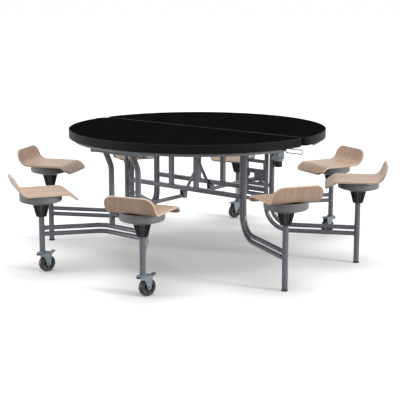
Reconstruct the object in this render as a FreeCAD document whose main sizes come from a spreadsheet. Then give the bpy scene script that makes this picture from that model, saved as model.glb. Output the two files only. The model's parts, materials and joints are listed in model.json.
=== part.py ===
import FreeCAD, Part
import math
import os
import Sketcher

os.makedirs("parts", exist_ok=True)
doc = FreeCAD.newDocument("swivel_seat_table")
sheet = doc.addObject("Spreadsheet::Sheet", "Dims")
Vector = FreeCAD.Vector
X_WAY, Y_WAY, Z_WAY = Vector(1, 0, 0), Vector(0, 1, 0), Vector(0, 0, 1)

# Every driving size, in millimetres and degrees. The seam runs along Y; the front half is at -X.
SIZES = {
    # round top in two halves
    "top_height": 762,
    "top_radius": 760,
    "panel_thickness": 28,
    "edge_thickness": 4,
    "edge_depth": 47,
    "edge_gap": 0.2,
    "seam_gap": 4,
    "corner_radius": 46,
    # curved apron below each half
    "apron_inset": 26,
    "apron_thickness": 4,
    "apron_depth": 38,
    "apron_end_x": 150,
    # fold pivots
    "pivot_drop": 44,
    "outer_pivot_inset": 76,
    "inner_pivot_x": 128,
    "pivot_pin_dia": 16,
    "pivot_pin_head_dia": 24,
    "pivot_pin_head": 4,
    "pivot_pin_grip": 40,
    "pivot_tube_dia": 30,
    "running_gap": 0.08,
    "side_gap": 1,
    "weld_gap": 0.2,
    "overrun": 200,
    # bracket plates that carry the pivots
    "ear_thickness": 6,
    "outer_ear_half": 16,
    "inner_ear_half": 30,
    "ear_foot_half": 15,
    "ear_drop": 17,
    "ear_corner": 12,
    # seam hinges
    "hinge_y": 330,
    "knuckle_width": 24,
    "knuckle_gap": 0.5,
    "knuckle_dia": 18,
    "hinge_pin_dia": 8,
    "hinge_pin_over": 3,
    "hinge_flange": 62,
    "hinge_plate": 5,
    "hinge_web_x": 9,
    # seats on a ring
    "caster_seat_reach": 230,
    "plain_seat_reach": 205.5,
    "seat_ring_angle": 22.5,
    "caster_seat_height": 466,
    "plain_seat_height": 502,
    "seat_1_angle": -9,
    "seat_2_angle": 0,
    "seat_3_angle": -7,
    "seat_4_angle": -8,
    "seat_5_angle": 9,
    "seat_6_angle": 0,
    "seat_7_angle": -8,
    "seat_8_angle": -7,
    "seat_thickness": 12,
    "seat_width": 280,
    "seat_front_over": 1.2,
    "seat_back": 118,
    "front_lip_length": 70,
    "front_lip_angle": 36,
    "back_lip_length": 96,
    "back_lip_angle": 68,
    "front_bend": 40,
    "back_bend": 52,
    "front_corner": 44,
    "back_corner": 50,
    # swivel hub below each seat
    "hub_radius": 118,
    "hub_wall": 4,
    "hub_side": 43,
    "hub_dish": 21,
    "hub_round": 10,
    "hub_inner_round": 6,
    "hub_neck_radius": 49,
    "hub_boss_radius": 20,
    "hub_boss_below": 18,
    "hub_cap": 6,
    "spigot_dia": 20,
    "spigot_gap": 0.4,
    "cone_gap": 0.6,
    # ribbed cone on each post
    "cone_height": 69,
    "cone_top_radius": 37,
    "cone_foot_radius": 22,
    "cone_rib_top_out": 10,
    "cone_rib_foot_out": 7,
    "cone_rib_in": 3,
    "cone_rib_width": 4,
    "cone_rib_count": 14,
    # posts and feet
    "post_dia": 32,
    "foot_dia": 34,
    "foot_sole": 9,
    "foot_stem_dia": 20,
    "foot_stem_length": 24,
    # tubes
    "tube_dia": 25,
    "tube_pitch": 35,
    # caster frames
    "caster_rail_drop": 247,
    "outer_leg_step": 47,
    "caster_rail_y": 165,
    "caster_rail_bend": 90,
    "outer_leg_dia": 32,
    "outer_leg_y": 100,
    "outer_leg_knee_drop": 92,
    "outer_leg_bend": 110,
    "outer_tube_over": 90,
    "crossbar_rise": 68,
    # plain frames
    "inner_leg_inset": 323,
    "inner_rail_z": 174,
    "inner_bend": 110,
    "stretcher_rise": 45,
    "stretcher_size": 25,
    "upright_size": 25,
    "upright_y": 95,
    "inner_tube_over": 30,
    "brace_rise": 134,
    "brace_run": 92,
    "brace_width": 17,
    "brace_thickness": 12,
    # link bars
    "link_rise": 43,
    "link_height": 20,
    "link_thickness": 14,
    "link_eye_radius": 14,
    "link_pin_dia": 12,
    "link_plate": 5,
    "link_side_gap": 1.5,
    "link_pin_over": 3,
    "link_pin_gap": 0.3,
    "link_plate_half": 15,
    "link_plate_root": 22,
    # casters
    "wheel_dia": 95,
    "wheel_width": 30,
    "tyre_depth": 11,
    "tyre_round": 5,
    "tyre_gap": 0.2,
    "wheel_hub_radius": 13,
    "wheel_web": 10,
    "caster_trail": 27,
    "caster_angle": -12,
    "fork_gap": 2.5,
    "fork_plate": 3,
    "fork_back": 27,
    "fork_front": 48,
    "fork_eye": 11,
    "fork_crown": 4,
    "fork_room": 13,
    "fork_cheek_drop": 13,
    "fork_flare": 4,
    "caster_head": 12,
    "caster_head_dia": 48,
    "caster_head_round": 5,
    "caster_stem_dia": 18,
    "caster_stem_length": 46,
    "caster_axle_dia": 10,
    "caster_top_gap": 0.5,
    "pedal_pivot_x": 30,
    "pedal_lift": 7,
    "pedal_reach": 46,
    "pedal_rise": 13,
    "pedal_plate": 3,
    "pedal_barrel_radius": 3.5,
    "pedal_pin_dia": 4,
    "pedal_side_gap": 1,
    # latch bolt with its pull loop, on the leg next to seat 5
    "latch_out": 30,
    "latch_below": 40,
    "latch_rod_dia": 10,
    "latch_tip_gap": 2.8,
    "latch_travel": 15,
    "latch_block_length": 36,
    "latch_block_in": 18,
    "latch_block_out": 42,
    "latch_block_top": 26,
    "latch_block_foot": 94,
    "latch_foot_height": 22,
    "latch_bore_gap": 0.08,
    "loop_length": 112,
    "loop_half": 12,
    "loop_wire_dia": 6,
    "loop_bend": 11,
    "hook_gap": 1.5,
    "hook_width": 10,
    "hook_below": 8,
    "hook_rise": 4,
    "hook_root": 16,
    # rubber stop below the latch block
    "stop_dia": 45,
    "stop_height": 36,
    "stop_round": 6,
    "stop_cup_over": 3,
    "stop_cup": 7,
    # catch plate on the same leg
    "catch_thickness": 8,
    "catch_reach": 160,
    "catch_top": 104,
    "catch_rise": 34,
}


class Size:
    """A length or angle: its value, and the same sum written for the sheet."""

    def __init__(self, value, text):
        self.value, self.text = float(value), text

    def __add__(self, other):
        return Size(self.value + val(other), "(%s + %s)" % (self.text, txt(other)))

    def __sub__(self, other):
        return Size(self.value - val(other), "(%s - %s)" % (self.text, txt(other)))

    def __mul__(self, other):
        return Size(self.value * val(other), "(%s * %s)" % (self.text, txt(other)))

    def __truediv__(self, other):
        return Size(self.value / val(other), "(%s / %s)" % (self.text, txt(other)))

    def __neg__(self):
        return Size(-self.value, "(0 - %s)" % self.text)


class Sheet:
    pass


def val(s):
    return s.value if isinstance(s, Size) else float(s)


def txt(s):
    return s.text if isinstance(s, Size) else repr(float(s))


def cos_of(angle):
    return Size(math.cos(math.radians(val(angle))), "cos(%s * 1 deg)" % txt(angle))


def sin_of(angle):
    return Size(math.sin(math.radians(val(angle))), "sin(%s * 1 deg)" % txt(angle))


def tan_of(angle):
    return Size(math.tan(math.radians(val(angle))), "tan(%s * 1 deg)" % txt(angle))


def root_of(s):
    return Size(math.sqrt(val(s)), "sqrt(%s)" % txt(s))


d = Sheet()
for row, (name, number) in enumerate(SIZES.items(), 1):
    sheet.set("A%d" % row, str(number))
    sheet.setAlias("A%d" % row, name)
    setattr(d, name, Size(number, "Dims." + name))
doc.recompute()


def bind(thing, prop, s):
    setattr(thing, prop, val(s))
    if isinstance(s, Size):
        thing.setExpression(prop, s.text)


def place(thing, x=0, y=0, z=0, turn=0, way=Z_WAY):
    """Turns a thing by an angle about an axis and moves it, bound to the sheet."""
    thing.Placement = FreeCAD.Placement(Vector(val(x), val(y), val(z)), FreeCAD.Rotation(way, val(turn)))
    for name, s in (("x", x), ("y", y), ("z", z)):
        if isinstance(s, Size):
            thing.setExpression("Placement.Base." + name, s.text)
    return thing


def new_body(name):
    thing = doc.addObject("PartDesign::Body", name)
    thing.Label = name
    return thing


def origin_of(body, role):
    return [f for f in body.Origin.OriginFeatures if f.Role == role][0]


def new_sketch(body, plane, lift=None):
    sk = body.newObject("Sketcher::SketchObject", "Sketch")
    sk.AttachmentSupport = [(origin_of(body, plane + "_Plane"), "")]
    sk.MapMode = "FlatFace"
    if lift is not None:
        sk.AttachmentOffset = FreeCAD.Placement(Vector(0, 0, val(lift)), FreeCAD.Rotation())
        if isinstance(lift, Size):
            sk.setExpression("AttachmentOffset.Base.z", lift.text)
    return sk


def limit(sk, s, *what):
    """One dimension of a sketch, bound to the sheet."""
    i = sk.addConstraint(Sketcher.Constraint(*what, val(s)))
    if isinstance(s, Size):
        sk.setExpression("Constraints[%d]" % i, s.text)


def hold(sk, geo, end, x, y):
    limit(sk, x, "DistanceX", geo, end)
    limit(sk, y, "DistanceY", geo, end)


def polygon(sk, points):
    first, n = sk.GeometryCount, len(points)
    ends = [Vector(val(x), val(y), 0) for x, y in points]
    for k in range(n):
        sk.addGeometry(Part.LineSegment(ends[k], ends[(k + 1) % n]))
    for k in range(n):
        sk.addConstraint(Sketcher.Constraint("Coincident", first + k, 2, first + (k + 1) % n, 1))
    for k, (x, y) in enumerate(points):
        hold(sk, first + k, 1, x, y)
    return sk


def circle(sk, x, y, radius):
    geo = sk.addGeometry(Part.Circle(Vector(val(x), val(y), 0), Z_WAY, val(radius)))
    hold(sk, geo, 3, x, y)
    limit(sk, radius, "Radius", geo)
    return sk


def bent_path(sk, points, bend):
    """Straight runs through the points, joined by bends of one radius."""
    at = [Vector(val(x), val(y), 0) for x, y in points]
    r = val(bend)
    starts, arcs = [at[0]], []
    ends = []
    for k in range(1, len(at) - 1):
        back, on = (at[k - 1] - at[k]).normalize(), (at[k + 1] - at[k]).normalize()
        half = back.getAngle(on) / 2
        cut = r / math.tan(half)
        centre = at[k] + (back + on).normalize() * (r / math.sin(half))
        left = back.cross(on).z < 0
        first, last = at[k] + back * cut, at[k] + on * cut
        ends.append(first)
        starts.append(last)
        a, b = (first, last) if left else (last, first)
        angle = [math.atan2(p.y - centre.y, p.x - centre.x) for p in (a, b)]
        if angle[1] < angle[0]:
            angle[1] += 2 * math.pi
        arcs.append((Part.ArcOfCircle(Part.Circle(centre, Z_WAY, r), angle[0], angle[1]), left))
    ends.append(at[-1])
    lines = []
    bends = []
    for k in range(len(starts)):
        lines.append(sk.addGeometry(Part.LineSegment(starts[k], ends[k])))
        if k < len(arcs):
            bends.append(sk.addGeometry(arcs[k][0]))
    for k, (geo, (_, left)) in enumerate(zip(bends, arcs)):
        enter, leave = (1, 2) if left else (2, 1)
        sk.addConstraint(Sketcher.Constraint("Tangent", lines[k], 2, geo, enter))
        sk.addConstraint(Sketcher.Constraint("Tangent", lines[k + 1], 1, geo, leave))
        limit(sk, bend, "Radius", geo)
        corner = sk.addGeometry(Part.Point(at[k + 1]), True)
        hold(sk, corner, 1, *points[k + 1])
        sk.addConstraint(Sketcher.Constraint("PointOnObject", corner, 1, lines[k]))
        sk.addConstraint(Sketcher.Constraint("PointOnObject", corner, 1, lines[k + 1]))
    hold(sk, lines[0], 1, *points[0])
    hold(sk, lines[-1], 2, *points[-1])
    return sk


def pad(body, sk, length, centred=False, back=False):
    f = body.newObject("PartDesign::Pad", "Pad")
    f.Profile = sk
    bind(f, "Length", length)
    f.Midplane, f.Reversed = centred, back
    return f


def pocket(body, sk, length, centred=True):
    f = body.newObject("PartDesign::Pocket", "Pocket")
    f.Profile = sk
    bind(f, "Length", length)
    f.Midplane = centred
    return f


def revolve(body, sk):
    f = body.newObject("PartDesign::Revolution", "Revolution")
    f.Profile = sk
    f.ReferenceAxis = (sk, ["V_Axis"])
    f.Angle = 360
    return f


def tube(body, path, dia):
    """A round bar of one diameter along a path."""
    doc.recompute()
    section = body.newObject("Sketcher::SketchObject", "Section")
    section.AttachmentSupport = [(path, "Edge1")]
    section.MapMode = "NormalToEdge"
    circle(section, 0, 0, dia / 2)
    f = body.newObject("PartDesign::AdditivePipe", "Pipe")
    f.Profile, f.Spine = section, path
    return f


def cope(body, x, y, z, way, radius, length):
    """Cuts a round seat across a tube, so that it meets another one."""
    f = body.newObject("PartDesign::SubtractiveCylinder", "Cope")
    bind(f, "Radius", radius)
    bind(f, "Height", length)
    low = [s - length * w / 2 for s, w in zip((zero + x, zero + y, zero + z), way)]
    f.Placement = FreeCAD.Placement(Vector(*map(val, low)), FreeCAD.Rotation(Z_WAY, way))
    for name, s in zip("xyz", low):
        f.setExpression("Placement.Base." + name, s.text)
    return f


zero = Size(0, "0")


def edges_of(feature, test):
    doc.recompute()
    return ["Edge%d" % i for i, e in enumerate(feature.Shape.Edges, 1) if test(e)]


def fillet(body, feature, radius, test):
    f = body.newObject("PartDesign::Fillet", "Fillet")
    f.Base = (feature, edges_of(feature, test))
    bind(f, "Radius", radius)
    return f


def along(edge, way):
    """Whether an edge is straight and runs along the given direction."""
    if len(edge.Vertexes) != 2:
        return False
    run = edge.Vertexes[1].Point - edge.Vertexes[0].Point
    return abs(run.dot(way)) > run.Length * (1 - TINY) and abs(run.Length - edge.Length) < TINY


def middle(edge):
    return edge.CenterOfMass


TINY = 1e-4
NODES = {}


def node(name, *things):
    """One sub-part of the table: a single body, or a group of separate solids."""
    if len(things) == 1:
        things[0].Label = name
        NODES[name] = things[0]
        return
    group = doc.addObject("Part::Compound", name)
    group.Label = name
    group.Links = list(things)
    NODES[name] = group


# shared derived sizes
tube_r = d.tube_dia / 2
post_r = d.post_dia / 2
pivot_r = d.pivot_tube_dia / 2
underside = d.top_height - d.panel_thickness
edge_bottom = d.top_height - d.edge_depth
pivot_height = underside - d.pivot_drop
outer_pivot_x = d.top_radius - d.outer_pivot_inset
caster_rail_x = outer_pivot_x - d.outer_leg_step
caster_rail_z = d.caster_seat_height - d.caster_rail_drop
crossbar_z = caster_rail_z + d.tube_pitch + d.crossbar_rise
link_z = crossbar_z + d.link_rise
stretcher_z = link_z + d.stretcher_rise
outer_tube_half = d.outer_leg_y + d.outer_tube_over
outer_ear_y = outer_tube_half + d.side_gap * 2
inner_leg_y = d.top_radius - d.inner_leg_inset
inner_tube_half = inner_leg_y + d.inner_tube_over
inner_ear_y = inner_tube_half + d.side_gap
apron_radius = d.top_radius - d.apron_inset
caster_ring = d.top_radius + d.caster_seat_reach
caster_far = caster_ring * cos_of(d.seat_ring_angle)
caster_near = caster_ring * sin_of(d.seat_ring_angle)
plain_ring = d.top_radius + d.plain_seat_reach
plain_far = plain_ring * cos_of(d.seat_ring_angle)
plain_near = plain_ring * sin_of(d.seat_ring_angle)
inner_run_x, inner_run_y = plain_near - d.inner_pivot_x, plain_far - inner_leg_y
inner_reach = root_of(inner_run_x * inner_run_x + inner_run_y * inner_run_y)
leg_shift_x = inner_run_x / inner_reach * (d.tube_pitch / 2)
leg_shift_y = inner_run_y / inner_reach * (d.tube_pitch / 2)
seat_bend_run = (d.front_bend + d.seat_thickness) * tan_of(d.front_lip_angle / 2)
seat_front = d.hub_radius + d.seat_front_over + seat_bend_run
latch_x = d.inner_pivot_x + d.latch_out
latch_z = pivot_height - d.latch_below
ear_face = inner_ear_y + d.ear_thickness
latch_near = ear_face + d.side_gap * 2
latch_far = latch_near + d.latch_block_length
latch_foot = pivot_height - d.latch_block_foot
leg_face = inner_leg_y + leg_shift_y + tube_r + d.weld_gap
wheel_r = d.wheel_dia / 2
crown_z = d.wheel_dia + d.fork_room
caster_height = crown_z + d.caster_head + d.caster_top_gap
pedal_pivot_z = d.wheel_dia + d.pedal_lift
HALVES = {"front": 0, "back": 180}
SIDES = (-1, 1)


# half top

def half_outline(sk, radius, seam_x):
    """A straight seam edge closed by an arc about the centre of the table."""
    h = root_of(radius * radius - seam_x * seam_x)
    x, y = -val(seam_x), val(h)
    line = sk.addGeometry(Part.LineSegment(Vector(x, -y, 0), Vector(x, y, 0)))
    a = math.atan2(y, x)
    arc = sk.addGeometry(
        Part.ArcOfCircle(Part.Circle(Vector(0, 0, 0), Z_WAY, val(radius)), a, 2 * math.pi - a)
    )
    sk.addConstraint(Sketcher.Constraint("Coincident", line, 2, arc, 1))
    sk.addConstraint(Sketcher.Constraint("Coincident", line, 1, arc, 2))
    sk.addConstraint(Sketcher.Constraint("Coincident", arc, 3, -1, 1))
    sk.addConstraint(Sketcher.Constraint("Vertical", line))
    limit(sk, radius, "Radius", arc)
    limit(sk, -seam_x, "DistanceX", line, 1)


def seam_corner(seam_x):
    return lambda e: along(e, Z_WAY) and abs(middle(e).x + val(seam_x)) < TINY


def half_top(side, turn):
    half_gap = d.seam_gap / 2
    inset = d.edge_thickness + d.edge_gap
    panel = new_body(side + "_top_panel")
    sk = new_sketch(panel, "XY", underside)
    half_outline(sk, d.top_radius - inset, half_gap + inset)
    slab = pad(panel, sk, d.panel_thickness)
    fillet(panel, slab, d.corner_radius - inset, seam_corner(half_gap + inset))
    node(side + "_top_panel", place(panel, turn=turn))

    band = new_body(side + "_edge_band")
    sk = new_sketch(band, "XY", edge_bottom)
    half_outline(sk, d.top_radius, half_gap)
    half_outline(sk, d.top_radius - d.edge_thickness, half_gap + d.edge_thickness)
    ring = pad(band, sk, d.edge_depth)
    ring = fillet(band, ring, d.corner_radius, seam_corner(half_gap))
    fillet(band, ring, d.corner_radius - d.edge_thickness, seam_corner(half_gap + d.edge_thickness))
    node(side + "_edge_band", place(band, turn=turn))


def apron(side, turn):
    """A curved flat bar on edge under the rim, open towards the seam."""
    bar = new_body(side + "_apron_bar")
    sk = new_sketch(bar, "XY", underside - d.apron_depth)
    radii = (apron_radius, apron_radius - d.apron_thickness)
    arcs = []
    for r in radii:
        a = math.atan2(val(root_of(r * r - d.apron_end_x * d.apron_end_x)), -val(d.apron_end_x))
        g = sk.addGeometry(
            Part.ArcOfCircle(Part.Circle(Vector(0, 0, 0), Z_WAY, val(r)), a, 2 * math.pi - a)
        )
        sk.addConstraint(Sketcher.Constraint("Coincident", g, 3, -1, 1))
        limit(sk, r, "Radius", g)
        for end in (1, 2):
            limit(sk, -d.apron_end_x, "DistanceX", g, end)
        arcs.append(g)
    outer, inner = [sk.Geometry[g] for g in arcs]
    for end, a, b in ((1, outer.StartPoint, inner.StartPoint), (2, outer.EndPoint, inner.EndPoint)):
        g = sk.addGeometry(Part.LineSegment(a, b))
        sk.addConstraint(Sketcher.Constraint("Coincident", g, 1, arcs[0], end))
        sk.addConstraint(Sketcher.Constraint("Coincident", g, 2, arcs[1], end))
    pad(bar, sk, d.apron_depth)
    return place(bar, turn=turn)


def ear(name, pivot_x, top_half, y, turn, hooked):
    """A bracket plate on edge below the panel, with the hole of one pivot, and a hook for the latch."""
    plate = new_body(name)
    sk = new_sketch(plate, "XZ")
    foot = pivot_height - d.ear_drop
    polygon(
        sk,
        [
            (-pivot_x - top_half, underside),
            (-pivot_x - d.ear_foot_half, foot),
            (-pivot_x + d.ear_foot_half, foot),
            (-pivot_x + top_half, underside),
        ],
    )
    f = pad(plate, sk, d.ear_thickness, centred=True)
    fillet(plate, f, d.ear_corner, lambda e: along(e, Y_WAY) and middle(e).z < val(pivot_height))
    if hooked:
        near = -pivot_x - d.latch_out - d.latch_rod_dia / 2 - d.hook_gap
        far, low, top = near - d.hook_width, latch_z - d.hook_below, pivot_height + d.hook_rise
        root = top - d.hook_root
        sk = new_sketch(plate, "XZ")
        hook = [(far, top), (far, low), (near, low), (near, root)]
        polygon(sk, [(-pivot_x, top)] + hook + [(-pivot_x, root)])
        pad(plate, sk, d.ear_thickness, centred=True)
    hole = circle(new_sketch(plate, "XZ"), -pivot_x, pivot_height, d.pivot_pin_dia / 2 + d.weld_gap)
    pocket(plate, hole, d.overrun)
    return placed_turn(plate, 0, y, 0, turn)


def placed_turn(thing, x, y, z, turn):
    """Moves a thing of the front half, or the matching one turned half round to the back."""
    flip = -1 if turn else 1
    return place(thing, (zero + x) * flip, (zero + y) * flip, z, turn)


def pivot_pin(name, pivot_x, y, turn):
    """A headed pin through one bracket plate into the end of a pivot tube."""
    outward = 1 if val(y) > 0 else -1
    pin = new_body(name)
    sk = new_sketch(pin, "XZ", d.ear_thickness / -2)
    circle(sk, 0, 0, d.pivot_pin_head_dia / 2)
    pad(pin, sk, d.pivot_pin_head, back=True)
    sk = new_sketch(pin, "XZ", d.ear_thickness / -2)
    circle(sk, 0, 0, d.pivot_pin_dia / 2)
    pad(pin, sk, d.pivot_pin_grip)
    flip = -1 if turn else 1
    about = turn if outward > 0 else (turn + 180) % 360
    return place(pin, -pivot_x * flip, (zero + y) * flip, pivot_height, about)


def top_fittings(side, turn):
    ears, pins = [], []
    for label, x, half, y in (
        ("outer", outer_pivot_x, d.outer_ear_half, outer_ear_y),
        ("inner", d.inner_pivot_x, d.inner_ear_half, inner_ear_y),
    ):
        middle_y = y + d.ear_thickness / 2
        for s in SIDES:
            hooked = (side, label, s) == ("back", "inner", 1)
            ears.append(ear("%s_%s_ear" % (side, label), x, half, middle_y * s, turn, hooked))
            pins.append(pivot_pin("%s_%s_pin" % (side, label), x, middle_y * s, turn))
    node(side + "_underframe", apron(side, turn), *ears)
    node(side + "_pivot_pins", *pins)


def knuckle(name, y, turn, bore):
    """One hinge knuckle on the seam axis, carried by a plate that bolts under the panel."""
    part = new_body(name)
    axis, web = pivot_height, d.hinge_web_x
    sk = new_sketch(part, "XZ")
    polygon(
        sk,
        [
            (-d.hinge_flange, underside),
            (-d.hinge_flange, underside - d.hinge_plate),
            (-web - d.hinge_plate, underside - d.hinge_plate),
            (-web - d.hinge_plate, axis),
            (0, axis),
            (0, axis + d.hinge_plate),
            (-web, edge_bottom - d.side_gap),
            (-web, underside),
        ],
    )
    pad(part, sk, d.knuckle_width, centred=True)
    barrel = circle(new_sketch(part, "XZ"), 0, axis, d.knuckle_dia / 2)
    pad(part, barrel, d.knuckle_width, centred=True)
    hole = circle(new_sketch(part, "XZ"), 0, axis, bore)
    pocket(part, hole, d.overrun)
    return placed_turn(part, 0, y, 0, turn)


def hinges():
    pin_r = d.hinge_pin_dia / 2
    step = d.knuckle_width + d.knuckle_gap
    front, back, pins = [], [], []
    for s in SIDES:
        centre = d.hinge_y * s
        for side in SIDES:
            front.append(knuckle("front_knuckle", centre + step * side, 0, pin_r + d.weld_gap))
        back.append(knuckle("back_knuckle", centre, 180, pin_r + d.running_gap))
        pin = doc.addObject("Part::Cylinder", "hinge_pin")
        length = step * 3 + d.hinge_pin_over * 2
        bind(pin, "Radius", pin_r)
        bind(pin, "Height", length)
        pins.append(place(pin, 0, centre + length / 2, pivot_height, 90, X_WAY))
    node("front_hinge_leaves", *front)
    node("back_hinge_leaves", *back)
    node("seam_hinge_pins", *pins)


# posts, cones and feet

def post(name, x, y, foot, seat_height, bore, depth):
    """A round post, bored below; its turned-down upper end carries the seat hub."""
    top = seat_height - d.seat_thickness - d.hub_side - d.hub_dish - d.cone_gap
    tip = seat_height - d.seat_thickness - d.hub_boss_below - d.hub_cap - d.spigot_gap
    spigot = d.spigot_dia / 2
    part = new_body(name)
    sk = new_sketch(part, "XZ")
    polygon(
        sk,
        [
            (bore, foot),
            (post_r, foot),
            (post_r, top),
            (spigot, top),
            (spigot, tip),
            (0, tip),
            (0, foot + depth),
            (bore, foot + depth),
        ],
    )
    revolve(part, sk)
    return place(part, x, y)


def cone(name, x, y, seat_height):
    """The ribbed cone between a post and its hub."""
    part = new_body(name)
    top = seat_height - d.seat_thickness - d.hub_side - d.hub_dish - d.cone_gap
    low = top - d.cone_height
    bore = post_r + d.weld_gap
    sk = new_sketch(part, "XZ")
    polygon(sk, [(bore, low), (d.cone_foot_radius, low), (d.cone_top_radius, top), (bore, top)])
    revolve(part, sk)
    rib = new_sketch(part, "XZ")
    polygon(
        rib,
        [
            (d.cone_foot_radius - d.cone_rib_in, low),
            (d.cone_foot_radius + d.cone_rib_foot_out, low),
            (d.cone_top_radius + d.cone_rib_top_out, top),
            (d.cone_top_radius - d.cone_rib_in, top),
        ],
    )
    fin = pad(part, rib, d.cone_rib_width, centred=True)
    ring = part.newObject("PartDesign::PolarPattern", "Ribs")
    ring.Originals = [fin]
    ring.Axis = (origin_of(part, "Z_Axis"), [""])
    ring.Angle = 360
    ring.Occurrences = int(d.cone_rib_count.value)
    ring.setExpression("Occurrences", d.cone_rib_count.text)
    part.Tip = ring
    return place(part, x, y)


def foot(name, x, y):
    """A rubber plug whose stem sits in the lower end of a post."""
    part = new_body(name)
    r, stem = d.foot_dia / 2, d.foot_stem_dia / 2
    sole, tip = d.foot_sole - d.weld_gap, d.foot_sole + d.foot_stem_length
    sk = new_sketch(part, "XZ")
    polygon(sk, [(0, 0), (r, 0), (r, sole), (stem, sole), (stem, tip), (0, tip)])
    revolve(part, sk)
    return place(part, x, y)


# caster frames

def caster_frame(side, turn):
    flip = -1 if turn else 1
    rails = []
    for z in (caster_rail_z, caster_rail_z + d.tube_pitch):
        part = new_body(side + "_caster_rail")
        path = new_sketch(part, "XY", z)
        corners = [(-caster_far, caster_near), (-caster_rail_x, d.caster_rail_y)]
        bent_path(path, corners + [(x, -y) for x, y in reversed(corners)], d.caster_rail_bend)
        tube(part, path, d.tube_dia)
        for s in SIDES:
            cope(part, -caster_far, caster_near * s, z, Z_WAY, post_r + d.weld_gap, d.overrun)
        rails.append(place(part, turn=turn))
    posts, cones = [], []
    bore, height = d.caster_stem_dia / 2 + d.running_gap, d.caster_seat_height
    for s in SIDES:
        x, y = -caster_far * flip, caster_near * (s * flip)
        posts.append(post(side + "_caster_post", x, y, caster_height, height, bore, d.caster_stem_length))
        cones.append(cone(side + "_caster_cone", x, y, height))
    node(side + "_caster_rails", *rails, *posts)
    node(side + "_caster_cones", *cones)

    leg_x, rail_z = -caster_rail_x, caster_rail_z + d.tube_pitch
    leg_r = d.outer_leg_dia / 2
    things = []
    for s in SIDES:
        part = new_body(side + "_outer_leg")
        path = new_sketch(part, "XZ")
        knee_z = pivot_height - d.outer_leg_knee_drop
        points = [(leg_x, rail_z), (leg_x, knee_z), (-outer_pivot_x, pivot_height)]
        bent_path(path, points, d.outer_leg_bend)
        tube(part, path, d.outer_leg_dia)
        cope(part, leg_x, 0, rail_z, Y_WAY, tube_r + d.weld_gap, d.overrun)
        cope(part, -outer_pivot_x, 0, pivot_height, Y_WAY, pivot_r + d.weld_gap, d.overrun)
        things.append(placed_turn(part, 0, d.outer_leg_y * s, 0, turn))
    things.append(pivot_tube(side + "_outer_pivot_tube", outer_pivot_x, outer_tube_half, turn))
    bar = new_body(side + "_crossbar")
    sk = circle(new_sketch(bar, "XZ"), leg_x, crossbar_z, tube_r)
    pad(bar, sk, d.outer_leg_y * 2, centred=True)
    for s in SIDES:
        cope(bar, leg_x, d.outer_leg_y * s, crossbar_z, Z_WAY, leg_r + d.weld_gap, d.overrun)
    things.append(place(bar, turn=turn))
    face = leg_x - tube_r - d.weld_gap
    pin_x, half = -outer_pivot_x, d.link_plate_half
    outline = [
        (face, crossbar_z + tube_r),
        (face, crossbar_z - tube_r),
        (pin_x - half, link_z - half),
        (pin_x - half, link_z + half),
        (pin_x + half, link_z + half),
    ]
    things += link_plates(side + "_outer_link_plate", outline, pin_x, turn)
    node(side + "_caster_legs", *things)


def pivot_tube(name, x, half, turn):
    part = new_body(name)
    sk = new_sketch(part, "XZ")
    circle(sk, -x, pivot_height, pivot_r)
    circle(sk, -x, pivot_height, d.pivot_pin_dia / 2 + d.running_gap)
    pad(part, sk, half * 2, centred=True)
    return place(part, turn=turn)


def link_plates(name, outline, pin_x, turn):
    """A pair of plates either side of the link bar, with the hole of its pin."""
    out = d.link_thickness / 2 + d.link_side_gap + d.link_plate / 2
    plates = []
    for s in SIDES:
        part = new_body(name)
        pad(part, polygon(new_sketch(part, "XZ"), outline), d.link_plate, centred=True)
        hole = circle(new_sketch(part, "XZ"), pin_x, link_z, d.link_pin_dia / 2 + d.link_pin_gap)
        pocket(part, hole, d.overrun)
        plates.append(placed_turn(part, 0, out * s, 0, turn))
    return plates


# plain frames

def plain_frame(side, turn):
    flip = -1 if turn else 1
    legs, posts, cones, feet = [], [], [], []
    half, height = d.tube_pitch / 2, d.plain_seat_height
    bore, depth = d.foot_stem_dia / 2 + d.weld_gap, d.foot_stem_length + d.weld_gap
    for s in SIDES:
        angle = math.degrees(math.atan2(val(inner_run_y) * s, -val(inner_run_x)))
        for shift, rail_z, bend in (
            (-half, d.inner_rail_z, d.inner_bend + d.tube_pitch),
            (half, d.inner_rail_z + d.tube_pitch, d.inner_bend),
        ):
            part = new_body(side + "_inner_leg")
            path = new_sketch(part, "XZ")
            bent_path(path, [(shift, pivot_height), (shift, rail_z), (inner_reach, rail_z)], bend)
            tube(part, path, d.tube_dia)
            cope(part, inner_reach, 0, rail_z, Z_WAY, post_r + d.weld_gap, d.overrun)
            across = Vector(0, s, 0)
            across = FreeCAD.Rotation(Z_WAY, -angle).multVec(across)
            cope(part, 0, 0, pivot_height, across, pivot_r + d.weld_gap, d.overrun)
            legs.append(
                place(
                    part,
                    -d.inner_pivot_x * flip,
                    inner_leg_y * (s * flip),
                    turn=(angle + turn) % 360,
                )
            )
        x, y = -plain_near * flip, plain_far * (s * flip)
        posts.append(post(side + "_plain_post", x, y, d.foot_sole, height, bore, depth))
        cones.append(cone(side + "_plain_cone", x, y, height))
        feet.append(foot(side + "_foot", x, y))
    node(side + "_inner_legs", *legs, *posts)
    node(side + "_plain_cones", *cones)
    node(side + "_feet", *feet)
    crossframe(side, turn)


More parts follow.
